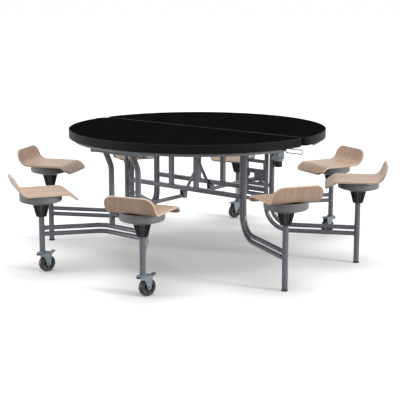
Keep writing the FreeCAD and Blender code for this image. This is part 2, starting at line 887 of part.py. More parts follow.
def crossframe(side, turn):
    """Stretcher, uprights and pivot tube between the two legs of a plain frame."""
    x, size = -d.inner_pivot_x, d.stretcher_size / 2
    z, gap = stretcher_z, d.weld_gap
    tube_x, tube_y = x + leg_shift_x, inner_leg_y - leg_shift_y
    things = [pivot_tube(side + "_inner_pivot_tube", d.inner_pivot_x, inner_tube_half, turn)]
    bar = new_body(side + "_stretcher")
    outline = [(x - size, z - size), (x + size, z - size), (x + size, z + size), (x - size, z + size)]
    pad(bar, polygon(new_sketch(bar, "XZ"), outline), tube_y * 2, centred=True)
    for s in SIDES:
        cope(bar, tube_x, tube_y * s, z, Z_WAY, tube_r + gap, d.overrun)
    things.append(place(bar, turn=turn))
    up = d.upright_size / 2
    for s in SIDES:
        part = new_body(side + "_upright")
        sk = new_sketch(part, "XY", z + size + gap)
        polygon(sk, [(x - up, -up), (x + up, -up), (x + up, up), (x - up, up)])
        pad(part, sk, pivot_height - z - size - gap)
        cope(part, x, 0, pivot_height, Y_WAY, pivot_r + gap, d.overrun)
        things.append(placed_turn(part, 0, d.upright_y * s, 0, turn))
    brace = new_body(side + "_brace")
    sk = new_sketch(brace, "YZ", x + size + gap + d.brace_thickness / 2)
    wide, top = d.brace_width / 2, z + size + d.brace_rise
    near, far = -d.upright_y, d.brace_run - d.upright_y
    polygon(sk, [(near - wide, top), (far - wide, z - size), (far + wide, z - size), (near + wide, top)])
    pad(brace, sk, d.brace_thickness, centred=True)
    things.append(place(brace, turn=turn))
    half, roof = d.link_plate_half, z - size - gap
    outline = [
        (x - d.link_plate_root, roof),
        (x - half, link_z - half),
        (x + half, link_z - half),
        (x + d.link_plate_root, roof),
    ]
    things += link_plates(side + "_inner_link_plate", outline, x, turn)
    if side == "back":
        things.append(catch_plate())
    node(side + "_crossframe", *things)


# Outline and window of the catch plate, as shares of its reach from the leg and of its height.
CATCH_OUTLINE_SHARES = (
    (0, 1),
    (1, 1),
    (1, 0.44),
    (0.86, 0.44),
    (0.86, 0.27),
    (0.75, 0.27),
    (0.737, 0.42),
    (0.536, 0.42),
    (0.524, 0.17),
    (1, 0.1),
    (1, 0),
    (0.44, 0.09),
    (0, 0.18),
)
CATCH_WINDOW_SHARES = ((0.13, 0.6), (0.88, 0.6), (0.88, 0.86), (0.13, 0.86))


def catch_plate():
    """A notched plate welded edge-on to the leg of the back plain frame next to seat 5."""
    part = new_body("catch_plate")
    x, y = d.inner_pivot_x - leg_shift_x, leg_shift_y - inner_leg_y
    low = stretcher_z + d.catch_rise
    tall = pivot_height - d.catch_top - low

    def points(shares):
        return [(y + d.catch_reach * a, low + tall * b) for a, b in shares]

    outline = polygon(new_sketch(part, "YZ", x), points(CATCH_OUTLINE_SHARES))
    pad(part, outline, d.catch_thickness, centred=True)
    pocket(part, polygon(new_sketch(part, "YZ", x), points(CATCH_WINDOW_SHARES)), d.overrun)
    cope(part, x, y, low + tall / 2, Z_WAY, tube_r + d.weld_gap, d.overrun)
    return part


def link(side, turn):
    """The bar that keeps a caster frame and a plain frame upright together."""
    part = new_body(side + "_link")
    near, far, half = -d.inner_pivot_x, -outer_pivot_x, d.link_height / 2
    z = link_z
    sk = new_sketch(part, "XZ")
    polygon(sk, [(far, z - half), (near, z - half), (near, z + half), (far, z + half)])
    pad(part, sk, d.link_thickness, centred=True)
    stud = d.link_thickness + (d.link_side_gap + d.link_plate + d.link_pin_over) * 2
    for x in (near, far):
        eye = circle(new_sketch(part, "XZ"), x, z, d.link_eye_radius)
        pad(part, eye, d.link_thickness, centred=True)
        pin = circle(new_sketch(part, "XZ"), x, z, d.link_pin_dia / 2)
        pad(part, pin, stud, centred=True)
    node(side + "_link", place(part, turn=turn))


# seats

def seat(number, x, y, height, inward, turn):
    """A bent plywood seat on its swivel hub."""
    about = (inward + val(turn)) % 360
    thick, a, b = d.seat_thickness, d.front_lip_angle, d.back_lip_angle
    tip_x = seat_front + d.front_lip_length * cos_of(a)
    tip_z = -(d.front_lip_length * sin_of(a))
    top_x = -d.seat_back - d.back_lip_length * cos_of(b)
    top_z = d.back_lip_length * sin_of(b)
    shell = new_body("seat_%d_shell" % number)
    sk = new_sketch(shell, "XZ")
    polygon(
        sk,
        [
            (top_x, top_z),
            (-d.seat_back, 0),
            (seat_front, 0),
            (tip_x, tip_z),
            (tip_x - thick * sin_of(a), tip_z - thick * cos_of(a)),
            (seat_front - thick * tan_of(a / 2), -thick),
            (-d.seat_back - thick * tan_of(b / 2), -thick),
            (top_x - thick * sin_of(b), top_z - thick * cos_of(b)),
        ],
    )
    f = pad(shell, sk, d.seat_width, centred=True)

    def bend(at_x, at_z):
        return lambda e: along(e, Y_WAY) and math.hypot(
            middle(e).x - val(at_x), middle(e).z - val(at_z)
        ) < TINY

    f = fillet(shell, f, d.back_bend, bend(-d.seat_back, 0))
    f = fillet(shell, f, d.back_bend + thick, bend(-d.seat_back - thick * tan_of(b / 2), -thick))
    f = fillet(shell, f, d.front_bend + thick, bend(seat_front, 0))
    f = fillet(shell, f, d.front_bend, bend(seat_front - thick * tan_of(a / 2), -thick))
    wide = val(d.seat_width) / 2

    def corner(way, beyond):
        return lambda e: along(e, way) and abs(abs(middle(e).y) - wide) < TINY and beyond(middle(e).x)

    front_way = Vector(val(sin_of(a)), 0, val(cos_of(a)))
    back_way = Vector(val(sin_of(b)), 0, val(cos_of(b)))
    f = fillet(shell, f, d.front_corner, corner(front_way, lambda v: v > val(seat_front)))
    fillet(shell, f, d.back_corner, corner(back_way, lambda v: v < -val(d.seat_back)))
    node("seat_%d_shell" % number, place(shell, x, y, height, about))

    hub = new_body("seat_%d_hub" % number)
    r, wall = d.hub_radius, d.hub_wall
    bore = d.spigot_dia / 2 + d.running_gap
    base = -d.hub_side - d.hub_dish
    boss, roof = d.hub_boss_radius, -d.hub_boss_below
    sk = new_sketch(hub, "XZ")
    polygon(
        sk,
        [
            (r, 0),
            (r, -d.hub_side),
            (d.hub_neck_radius, base),
            (bore, base),
            (bore, roof - d.hub_cap),
            (0, roof - d.hub_cap),
            (0, roof),
            (boss, roof),
            (boss, base + wall),
            (d.hub_neck_radius - wall, base + wall),
            (r - wall, -d.hub_side + wall / 2),
            (r - wall, 0),
        ],
    )
    f = revolve(hub, sk)

    def rim(radius, z):
        return lambda e: (
            abs(e.BoundBox.XLength / 2 - val(radius)) < TINY and abs(middle(e).z - val(z)) < TINY
        )

    f = fillet(hub, f, d.hub_round, rim(r, -d.hub_side))
    fillet(hub, f, d.hub_inner_round, rim(r - wall, -d.hub_side + wall / 2))
    node("seat_%d_hub" % number, place(hub, x, y, height - thick, about))


# casters

def caster(number, x, y, about):
    r = d.wheel_dia / 2
    half, cheek = d.wheel_width / 2, d.wheel_width / 2 + d.fork_gap
    trail, crown = d.caster_trail, crown_z
    fork = new_body("caster_%d_fork" % number)
    for s in SIDES:
        sk = new_sketch(fork, "XZ", (cheek + d.fork_plate / 2) * s)
        polygon(
            sk,
            [
                (-d.fork_back, crown),
                (-d.fork_back, crown - d.fork_cheek_drop),
                (trail - d.fork_back, crown - d.fork_cheek_drop * CHEEK_CURVE_SHARE),
                (trail - d.fork_eye - d.fork_flare, r + d.fork_eye),
                (trail - d.fork_eye, r - d.fork_eye),
                (trail + d.fork_eye, r - d.fork_eye),
                (trail + d.fork_eye + d.fork_flare, r + d.fork_eye),
                (d.fork_front, crown - d.fork_cheek_drop),
                (d.fork_front, crown),
            ],
        )
        pad(fork, sk, d.fork_plate, centred=True)
    sk = new_sketch(fork, "XY", crown)
    wide = cheek + d.fork_plate
    polygon(sk, [(-d.fork_back, -wide), (d.fork_front, -wide), (d.fork_front, wide), (-d.fork_back, wide)])
    pad(fork, sk, d.fork_crown)
    head, rim, cut = crown + d.caster_head, d.caster_head_dia / 2, d.caster_head_round
    sk = new_sketch(fork, "XZ")
    polygon(sk, [(0, crown), (rim, crown), (rim, head - cut), (rim - cut, head), (0, head)])
    revolve(fork, sk)
    pad(fork, circle(new_sketch(fork, "XY", crown), 0, 0, d.caster_stem_dia / 2), stem_top() - crown)
    axle = circle(new_sketch(fork, "XZ"), trail, r, d.caster_axle_dia / 2)
    last = pad(fork, axle, wide * 2, centred=True)
    last = fillet(
        fork,
        last,
        d.fork_eye * EYE_ROUND_SHARE,
        lambda e: along(e, Y_WAY) and middle(e).z < val(r) - val(d.fork_eye) / 2,
    )
    hole = circle(new_sketch(fork, "XZ"), d.pedal_pivot_x, pedal_pivot_z, pedal_pin() + d.running_gap)
    pocket(fork, hole, d.overrun)
    node("caster_%d_fork" % number, place(fork, x, y, 0, about))

    tyre = new_body("caster_%d_tyre" % number)
    inner = r - d.tyre_depth
    sk = new_sketch(tyre, "XZ")
    cut = d.tyre_round
    polygon(
        sk,
        [
            (inner, -half),
            (r - cut, -half),
            (r, -half + cut),
            (r, half - cut),
            (r - cut, half),
            (inner, half),
        ],
    )
    revolve(tyre, sk)
    core = new_body("caster_%d_core" % number)
    sk = new_sketch(core, "XZ")
    bore, web = d.caster_axle_dia / 2 + d.running_gap, d.wheel_web / 2
    rim = inner - d.tyre_gap
    polygon(
        sk,
        [
            (bore, -half),
            (d.wheel_hub_radius, -half),
            (d.wheel_hub_radius, -web),
            (rim - web, -web),
            (rim - web, -half),
            (rim, -half),
            (rim, half),
            (rim - web, half),
            (rim - web, web),
            (d.wheel_hub_radius, web),
            (d.wheel_hub_radius, half),
            (bore, half),
        ],
    )
    revolve(core, sk)
    lie = FreeCAD.Rotation(Z_WAY, about).multiply(FreeCAD.Rotation(X_WAY, 90))
    way = math.radians(about)
    for thing in (tyre, core):
        place(thing, x + trail * math.cos(way), y + trail * math.sin(way), r)
        thing.Placement = FreeCAD.Placement(thing.Placement.Base, lie)
    node("caster_%d_wheel" % number, tyre, core)

    pedal = new_body("caster_%d_pedal" % number)
    px, pz, plate = d.pedal_pivot_x, pedal_pivot_z, d.pedal_plate
    sk = new_sketch(pedal, "XZ")
    end, low = px + d.pedal_reach, pz - plate / 2
    knee = px + d.pedal_reach / 2
    polygon(
        sk,
        [
            (px, low),
            (knee, low),
            (end, low + d.pedal_rise),
            (end, low + d.pedal_rise + plate),
            (knee, low + plate),
            (px, low + plate),
        ],
    )
    width = cheek * 2 - d.pedal_side_gap * 2
    pad(pedal, sk, width, centred=True)
    pad(pedal, circle(new_sketch(pedal, "XZ"), px, pz, d.pedal_barrel_radius), width, centred=True)
    pad(pedal, circle(new_sketch(pedal, "XZ"), px, pz, pedal_pin()), wide * 2, centred=True)
    node("caster_%d_pedal" % number, place(pedal, x, y, 0, about))


EYE_ROUND_SHARE = 0.9
CHEEK_CURVE_SHARE = 1.45


def stem_top():
    return caster_height + d.caster_stem_length - d.caster_top_gap


def pedal_pin():
    return d.pedal_pin_dia / 2


# latch and stop on the leg next to seat 5

def latch():
    """A bolt with a wire pull loop, guided in a block on the leg; it shoots behind the bracket's hook."""
    rod_r, wire, half = d.latch_rod_dia / 2, d.loop_wire_dia, d.loop_half
    tip = ear_face + d.latch_tip_gap
    root = latch_far + d.latch_travel + d.latch_tip_gap + wire / 2
    end = root + d.loop_length
    handle = new_body("latch_handle")
    pad(handle, circle(new_sketch(handle, "XZ", tip), latch_x, latch_z, rod_r), root - tip)
    path = new_sketch(handle, "YZ", latch_x)
    upper, lower = latch_z + half, latch_z - half
    bent_path(path, [(-root, upper), (-end, upper), (-end, lower), (-root, lower)], d.loop_bend)
    tube(handle, path, wire)
    bar = circle(new_sketch(handle, "XY", lower - wire / 2), latch_x, -root, wire / 2)
    pad(handle, bar, half * 2 + wire)
    node("latch_handle", handle)

    block = new_body("latch_block")
    left, right = d.inner_pivot_x - d.latch_block_in, d.inner_pivot_x + d.latch_block_out
    top, step = pivot_height - d.latch_block_top, latch_foot + d.latch_foot_height
    sk = new_sketch(block, "YZ", (left + right) / 2)
    polygon(
        sk,
        [
            (-latch_near, top),
            (-latch_far, top),
            (-latch_far, latch_foot),
            (-leg_face, latch_foot),
            (-leg_face, step),
            (-latch_near, step),
        ],
    )
    pad(block, sk, right - left, centred=True)
    hole = circle(new_sketch(block, "XZ", latch_near), latch_x, latch_z, rod_r + d.latch_bore_gap)
    pocket(block, hole, d.overrun)
    node("latch_block", block)


def stop():
    """A rubber stop in a cup below the latch block."""
    rubber_r = d.stop_dia / 2
    cup_r = rubber_r + d.stop_cup_over
    x = d.inner_pivot_x + (d.latch_block_out - d.latch_block_in) / 2
    y = -leg_face - d.side_gap - cup_r
    cup = new_body("stop_bracket")
    pad(cup, circle(new_sketch(cup, "XY", latch_foot), x, y, cup_r), d.stop_cup, back=True)
    rubber = new_body("rubber_stop")
    low = latch_foot - d.stop_cup
    f = pad(rubber, circle(new_sketch(rubber, "XY", low), x, y, rubber_r), d.stop_height, back=True)
    fillet(rubber, f, d.stop_round, lambda e: middle(e).z < val(low - d.stop_height + d.stop_round))
    node("stop_bracket", cup)
    node("rubber_stop", rubber)


for side, turn in HALVES.items():
    half_top(side, turn)
    top_fittings(side, turn)
    caster_frame(side, turn)
    plain_frame(side, turn)
    link(side, turn)
hinges()
latch()
stop()

# Seats by number: signs and order of the ring coordinates, and whether the seat stands on a caster.
SEATS = {
    1: (-caster_far, caster_near, True),
    2: (-plain_near, plain_far, False),
    3: (-caster_far, -caster_near, True),
    4: (-plain_near, -plain_far, False),
    5: (plain_near, -plain_far, False),
    6: (caster_far, -caster_near, True),
    7: (plain_near, plain_far, False),
    8: (caster_far, caster_near, True),
}
for number, (x, y, on_caster) in SEATS.items():
    height = d.caster_seat_height if on_caster else d.plain_seat_height
    inward = math.degrees(math.atan2(-val(y), -val(x)))
    seat(number, x, y, height, inward, getattr(d, "seat_%d_angle" % number))
    if on_caster:
        caster(number, x, y, val(d.caster_angle) + (0 if val(x) < 0 else 180))

doc.recompute()
for thing in doc.Objects:
    if "Invalid" in thing.State or "Error" in thing.State:
        raise RuntimeError("%s is not valid" % thing.Label)
for name, thing in NODES.items():
    if thing.Shape.isNull() or not thing.Shape.isValid():
        raise RuntimeError("%s has no valid shape" % name)
    thing.Shape.exportStep(os.path.join("parts", name + ".step"))
print(len(NODES), "nodes")
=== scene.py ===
import json
import math

import bmesh
import bpy
from mathutils import Matrix, Vector


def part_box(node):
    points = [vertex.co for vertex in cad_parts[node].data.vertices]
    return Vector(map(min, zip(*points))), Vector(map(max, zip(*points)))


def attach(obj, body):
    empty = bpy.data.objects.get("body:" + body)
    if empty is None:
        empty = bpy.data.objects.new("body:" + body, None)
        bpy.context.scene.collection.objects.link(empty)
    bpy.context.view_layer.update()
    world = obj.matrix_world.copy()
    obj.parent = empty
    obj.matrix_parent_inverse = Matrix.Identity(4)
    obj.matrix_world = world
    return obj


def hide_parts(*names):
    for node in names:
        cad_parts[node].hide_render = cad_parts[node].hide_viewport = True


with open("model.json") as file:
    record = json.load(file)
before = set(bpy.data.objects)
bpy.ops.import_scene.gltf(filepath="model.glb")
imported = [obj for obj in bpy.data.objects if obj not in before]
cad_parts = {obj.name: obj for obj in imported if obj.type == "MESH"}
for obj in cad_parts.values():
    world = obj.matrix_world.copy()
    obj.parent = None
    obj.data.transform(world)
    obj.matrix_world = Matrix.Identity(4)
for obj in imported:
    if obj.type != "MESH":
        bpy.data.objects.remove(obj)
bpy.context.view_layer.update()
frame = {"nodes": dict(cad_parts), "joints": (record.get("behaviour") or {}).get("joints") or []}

NODES = frame["nodes"]
JOINTS = {joint["name"]: joint for joint in frame["joints"]}
MM = 0.001
TURN = 2 * math.pi
QUARTER = math.pi / 2
HALVES = {"front": -1, "back": 1}
SIDES = (-1, 1)


# shader helpers

NOISE_LOW, NOISE_HIGH = 0.3, 0.7


class Shader:
    """A material and short ways to add its nodes."""

    def __init__(self, name, **sockets):
        self.material = bpy.data.materials.new(name)
        self.material.use_nodes = True
        self.tree = self.material.node_tree
        self.surface = self.tree.nodes["Principled BSDF"]
        for key, value in sockets.items():
            self.surface.inputs[key.replace("_", " ")].default_value = value

    def add(self, kind, **settings):
        made = self.tree.nodes.new("ShaderNode" + kind)
        for key, value in settings.items():
            setattr(made, key, value)
        return made

    def link(self, source, target):
        self.tree.links.new(source, target)

    def uv(self):
        return self.add("UVMap", uv_map="UVMap").outputs["UV"]

    def coords(self, scale=(1, 1, 1), uv=False):
        """The object's own coordinates, or its UV map, stretched along the axes."""
        place = self.uv() if uv else self.add("TexCoord").outputs["Object"]
        mapping = self.add("Mapping")
        mapping.inputs["Scale"].default_value = scale
        self.link(place, mapping.inputs["Vector"])
        return mapping.outputs["Vector"]

    def noise(self, vector, scale, detail, rough=0.5, warp=0.0):
        made = self.add("TexNoise")
        made.inputs["Scale"].default_value = scale
        made.inputs["Detail"].default_value = detail
        made.inputs["Roughness"].default_value = rough
        made.inputs["Distortion"].default_value = warp
        self.link(vector, made.inputs["Vector"])
        return made.outputs["Fac"]

    def ramp(self, factor, *stops):
        """A factor turned into a colour by stops of (place, colour)."""
        made = self.add("ValToRGB")
        bar = made.color_ramp.elements
        while len(bar) < len(stops):
            bar.new(0.5)
        for stop, (at, colour) in zip(bar, stops):
            stop.position = at
            stop.color = (*colour, 1)
        self.link(factor, made.inputs["Fac"])
        return made.outputs["Color"]

    def spread(self, factor, low, high, start=NOISE_LOW, end=NOISE_HIGH):
        """A grey factor spread over a range of values."""
        made = self.add("MapRange")
        made.inputs["From Min"].default_value = start
        made.inputs["From Max"].default_value = end
        made.inputs["To Min"].default_value = low
        made.inputs["To Max"].default_value = high
        self.link(factor, made.inputs["Value"])
        return made.outputs["Result"]

    def mix(self, factor, a, b):
        """Two colours, each a node's output or a plain colour, mixed by a factor."""
        made = self.add("Mix", data_type="RGBA", blend_type="MIX")
        self.link(factor, made.inputs["Factor"])
        for name, value in (("A", a), ("B", b)):
            socket = [s for s in made.inputs if s.name == name and s.type == "RGBA"][0]
            if isinstance(value, tuple):
                socket.default_value = (*value, 1)
            else:
                self.link(value, socket)
        return [s for s in made.outputs if s.type == "RGBA"][0]

    def bump(self, height, strength, distance, after=None):
        made = self.add("Bump")
        made.inputs["Strength"].default_value = strength
        made.inputs["Distance"].default_value = distance
        self.link(height, made.inputs["Height"])
        if after is not None:
            self.link(after, made.inputs["Normal"])
        return made.outputs["Normal"]

    def finish(self, colour, rough=None, normal=None):
        for key, source in (("Base Color", colour), ("Roughness", rough), ("Normal", normal)):
            if source is not None:
                self.link(source, self.surface.inputs[key])
        return self.material


# finishes

SEAT_THICK = 12 * MM
PLY_COUNT = 9
CLOUD, SHEEN_PATCH = 9.0, 45.0


def grain_material(name, low, high, rough, grain, bump, **sockets):
    """A finish with fine surface grain and slow changes of tone."""
    s = Shader(name, **sockets)
    place = s.coords()
    tone = s.ramp(s.noise(place, CLOUD, detail=3), (NOISE_LOW, low), (NOISE_HIGH, high))
    sheen = s.spread(s.noise(place, SHEEN_PATCH, detail=4), *rough)
    fine = s.noise(place, grain, detail=2)
    return s.finish(tone, sheen, s.bump(fine, bump, distance=0.4 * MM))


def laminate():
    """Black satin laminate with a fine pearl texture and faint wipe marks."""
    dark, light, fleck = (0.0037, 0.0037, 0.0038), (0.0058, 0.0058, 0.0060), (0.012, 0.012, 0.0125)
    s = Shader("top_laminate", Specular_IOR_Level=0.0)
    place = s.coords()
    smear = s.noise(s.coords((3, 11, 1)), scale=1.6, detail=5, rough=0.6, warp=0.8)
    speck = s.noise(place, scale=900, detail=2)
    pearl = s.noise(place, scale=420, detail=2, rough=0.4)
    tone = s.ramp(smear, (0.25, dark), (0.75, light))
    tone = s.mix(s.spread(speck, low=0, high=0.25, start=0.55, end=0.75), tone, fleck)
    sheen = s.spread(smear, low=0.42, high=0.56)
    return s.finish(tone, sheen, s.bump(pearl, strength=0.12, distance=0.3 * MM))


def veneer():
    """Lacquered beech veneer: grain from front to back, short dark pores, slow cathedral bands."""
    dark, middle, light = (0.42, 0.275, 0.195), (0.535, 0.372, 0.272), (0.625, 0.465, 0.36)
    line_tone, pore_tone = (0.31, 0.19, 0.125), (0.22, 0.125, 0.075)
    s = Shader("seat_veneer", Specular_IOR_Level=0.35, Coat_Weight=0.12, Coat_Roughness=0.3)
    bands = s.noise(s.coords((1.4, 13, 1), uv=True), scale=1.5, detail=5, rough=0.55, warp=0.9)
    lines = s.noise(s.coords((3.2, 150, 1), uv=True), scale=1.4, detail=6, rough=0.62, warp=0.15)
    pores = s.noise(s.coords((26, 620, 1), uv=True), scale=1.0, detail=2)
    tone = s.ramp(bands, (0.22, dark), (0.5, middle), (0.78, light))
    tone = s.mix(s.spread(lines, low=0.0, high=0.8, start=0.44, end=0.68), tone, line_tone)
    tone = s.mix(s.spread(pores, low=0.0, high=0.5, start=0.60, end=0.70), tone, pore_tone)
    sheen = s.spread(lines, low=0.38, high=0.52)
    relief = s.bump(lines, strength=0.08, distance=0.4 * MM)
    return s.finish(tone, sheen, s.bump(pores, strength=0.12, distance=0.3 * MM, after=relief))


def ply_edge():
    """The laminated edge: thin light and dark plies with fibres along them."""
    light, dark, fibre_tone = (0.70, 0.585, 0.46), (0.46, 0.33, 0.23), (0.40, 0.28, 0.19)
    s = Shader("seat_ply_edge", Specular_IOR_Level=0.3)
    split = s.add("SeparateXYZ")
    s.link(s.uv(), split.inputs["Vector"])
    layer = s.add("Math", operation="MULTIPLY")
    layer.inputs[1].default_value = PLY_COUNT / SEAT_THICK
    s.link(split.outputs["Y"], layer.inputs[0])
    saw = s.add("Math", operation="PINGPONG")
    saw.inputs[1].default_value = 1.0
    s.link(layer.outputs[0], saw.inputs[0])
    fibres = s.noise(s.coords((210, 2600, 1), uv=True), scale=1.0, detail=3, rough=0.6)
    tone = s.ramp(saw.outputs[0], (0.35, light), (0.62, dark))
    tone = s.mix(s.spread(fibres, low=0.0, high=0.5, start=0.4, end=0.75), tone, fibre_tone)
    sheen = s.spread(fibres, low=0.5, high=0.68)
    return s.finish(tone, sheen, s.bump(fibres, strength=0.2, distance=0.3 * MM))


def powder_coat():
    """Silver-grey powder coat: orange peel, fine metal flake, slightly darker clouds."""
    dark, light, flake_tone = (0.108, 0.115, 0.135), (0.137, 0.146, 0.169), (0.25, 0.26, 0.29)
    s = Shader("silver_frame", Metallic=0.15, Specular_IOR_Level=0.4)
    place = s.coords()
    flake = s.noise(place, scale=1500, detail=2)
    peel = s.noise(place, scale=330, detail=2, rough=0.4)
    tone = s.ramp(s.noise(place, scale=7, detail=4), (NOISE_LOW, dark), (NOISE_HIGH, light))
    tone = s.mix(s.spread(flake, low=0, high=0.2, start=0.56, end=0.74), tone, flake_tone)
    sheen = s.spread(s.noise(place, scale=60, detail=3), low=0.22, high=0.32)
    return s.finish(tone, sheen, s.bump(peel, strength=0.1, distance=0.3 * MM))


def zinc():
    """Bright zinc plate with a faint bluish spangle."""
    dark, light, stain = (0.13, 0.17, 0.195), (0.23, 0.28, 0.31), (0.10, 0.13, 0.15)
    s = Shader("zinc", Metallic=0.45, Specular_IOR_Level=0.6)
    place = s.coords()
    cells = s.add("TexVoronoi", feature="F1")
    cells.inputs["Scale"].default_value = 260
    s.link(place, cells.inputs["Vector"])
    tone = s.ramp(cells.outputs["Distance"], (0.1, dark), (0.7, light))
    tone = s.mix(s.spread(s.noise(place, scale=40, detail=4), low=0, high=0.5), tone, stain)
    sheen = s.spread(s.noise(place, scale=120, detail=3), low=0.26, high=0.42)
    fine = s.noise(place, scale=700, detail=2)
    return s.finish(tone, sheen, s.bump(fine, strength=0.1, distance=0.2 * MM))


def chrome():
    """Chromed wire with hair scratches along it."""
    dark, light = (0.27, 0.29, 0.32), (0.38, 0.40, 0.43)
    s = Shader("chrome_wire", Metallic=1.0)
    scratch = s.noise(s.coords((900, 30, 900)), scale=1.0, detail=3)
    tone = s.ramp(scratch, (0.35, dark), (0.65, light))
    sheen = s.spread(scratch, low=0.16, high=0.3)
    return s.finish(tone, sheen, s.bump(scratch, strength=0.06, distance=0.2 * MM))


GRAINED = {
    "edge_band": dict(
        low=(0.0030, 0.0030, 0.0031), high=(0.0045, 0.0045, 0.0047),
        rough=(0.46, 0.56), grain=650, bump=0.1, Specular_IOR_Level=0.09,
    ),
    "grey_plastic": dict(
        low=(0.145, 0.146, 0.148), high=(0.175, 0.176, 0.178),
        rough=(0.42, 0.56), grain=520, bump=0.22, Specular_IOR_Level=0.4,
    ),
    "black_plastic": dict(
        low=(0.013, 0.013, 0.0135), high=(0.020, 0.020, 0.020),
        rough=(0.30, 0.42), grain=480, bump=0.22, Specular_IOR_Level=0.45,
    ),
    "black_rubber": dict(
        low=(0.011, 0.011, 0.012), high=(0.018, 0.018, 0.019),
        rough=(0.62, 0.78), grain=380, bump=0.3, Specular_IOR_Level=0.3,
    ),
    "wheel_rubber": dict(
        low=(0.007, 0.0075, 0.008), high=(0.012, 0.0125, 0.0135),
        rough=(0.34, 0.48), grain=300, bump=0.25, Specular_IOR_Level=0.4,
    ),
    "race_shadow": dict(
        low=(0.03, 0.03, 0.032), high=(0.05, 0.05, 0.052),
        rough=(0.4, 0.6), grain=400, bump=0.2,
    ),
    "wheel_core": dict(
        low=(0.045, 0.044, 0.042), high=(0.065, 0.064, 0.061),
        rough=(0.3, 0.45), grain=420, bump=0.2, Specular_IOR_Level=0.4,
    ),
}
MATERIALS = {name: grain_material(name, **values) for name, values in GRAINED.items()}
MATERIALS.update(
    top_laminate=laminate(),
    silver_frame=powder_coat(),
    zinc=zinc(),
    chrome_wire=chrome(),
    plywood=veneer(),
    ply_edge=ply_edge(),
)


def paint(thing, *names):
    thing.data.materials.clear()
    for name in names:
        thing.data.materials.append(MATERIALS[name])


# mesh helpers

HEAD_SHOULDER_SHARE, HEAD_CHAMFER_SHARE = 0.6, 0.82


def mesh_piece(name, verts, faces, smooth=True):
    data = bpy.data.meshes.new(name)
    data.from_pydata([tuple(v) for v in verts], [], faces)
    data.validate()
    skin = bmesh.new()
    skin.from_mesh(data)
    bmesh.ops.recalc_face_normals(skin, faces=skin.faces)
    skin.to_mesh(data)
    skin.free()
    data.update()
    if smooth:
        data.shade_smooth()
    thing = bpy.data.objects.new(name, data)
    bpy.context.scene.collection.objects.link(thing)
    return thing


def circle(radius, steps, z=0.0):
    """Points round the local Z axis."""
    turns = [TURN * k / steps for k in range(steps)]
    return [(radius * math.cos(a), radius * math.sin(a), z) for a in turns]


def tube_faces(rings, sides, closed=False):
    """Faces between neighbouring rings of vertices, and from the last to the first if closed."""
    faces = []
    for k in range(rings if closed else rings - 1):
        here, there = k * sides, (k + 1) % rings * sides
        for i in range(sides):
            j = (i + 1) % sides
            faces.append((here + i, there + i, there + j, here + j))
    return faces


def caps(rings, sides):
    """The two end faces of a tube of rings."""
    return [tuple(range(sides - 1, -1, -1)), tuple(range((rings - 1) * sides, rings * sides))]


def spin(profile, steps):
    """Vertices and faces of a closed outline (radius, height) turned about the local Z axis."""
    verts = []
    for k in range(steps):
        a = TURN * k / steps
        verts += [(r * math.cos(a), r * math.sin(a), z) for r, z in profile]
    return verts, tube_faces(steps, len(profile), closed=True)


def join(*parts):
    """Vertices and faces of several parts as one list each."""
    verts, faces = [], []
    for part_verts, part_faces in parts:
        start = len(verts)
        verts += part_verts
        faces += [tuple(i + start for i in face) for face in part_faces]
    return verts, faces


def moved(matrix, part):
    verts, faces = part
    return [matrix @ Vector(v) for v in verts], faces


def facing(place, axis):
    """A matrix that puts local Z along an axis at a place."""
    return Matrix.Translation(place) @ Vector(axis).to_track_quat("Z", "X").to_matrix().to_4x4()


def screw_head(radius, height, sides):
    """A chamfered screw head, or a hexagon with six sides, standing on z = 0."""
    shoulder, end = height * HEAD_SHOULDER_SHARE, radius * HEAD_CHAMFER_SHARE
    rings = [(radius, 0), (radius, shoulder), (end, height)]
    verts = [point for r, z in rings for point in circle(r, sides, z)]
    return verts, tube_faces(len(rings), sides) + caps(len(rings), sides)


def dress(name, body, part, finish, sharp=False):
    """A new piece of one finish that rides on a body."""
    thing = mesh_piece(name, *part, smooth=not sharp)
    paint(thing, finish)
    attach(thing, body)
    return thing


# camera, floor and light

PHOTO_SIZE, FOCAL_PIXELS, SENSOR = 400, 1010.14, 36
CAMERA_PLACE, CAMERA_LOOK = (-4.6435, -3.7645, 1.5417), (0.76256, 0.61487, -0.20092)
FLOOR_RADIUS, FLOOR_STEPS, FAR_CLIP = 60, 96, 200
FLOOR_SEEN, FLOOR_BOUNCE = (1.0, 1.0, 1.0), (0.15, 0.15, 0.15)
WORLD_SEEN, WORLD_LIGHT = 1.0, 0.64
# Direction to each lamp, its strength, and how wide it looks in degrees.
SUNS = {
    "overhead": ((0.0, 0.0, 1.0), 1.5, 50),
    "right_key": ((0.22, -0.83, 0.20), 2.4, 14),
    "left_key": ((-0.66, 0.70, 0.06), 1.7, 30),
}


def place_camera():
    data = bpy.data.cameras.new("camera")
    data.lens = FOCAL_PIXELS * SENSOR / PHOTO_SIZE
    data.sensor_width = SENSOR
    data.clip_end = FAR_CLIP
    camera = bpy.data.objects.new("camera", data)
    camera.location = CAMERA_PLACE
    camera.rotation_euler = Vector(CAMERA_LOOK).to_track_quat("-Z", "Y").to_euler()
    bpy.context.scene.collection.objects.link(camera)
    bpy.context.scene.camera = camera


def seen_rays(tree):
    """1 for the rays that show the background, and 0 for those that carry its light."""
    path = tree.nodes.new("ShaderNodeLightPath")
    total = path.outputs["Is Camera Ray"]
    for name in ("Is Glossy Ray", "Is Transmission Ray"):
        most = tree.nodes.new("ShaderNodeMath")
        most.operation = "MAXIMUM"
        tree.links.new(total, most.inputs[0])
        tree.links.new(path.outputs[name], most.inputs[1])
        total = most.outputs[0]
    return total


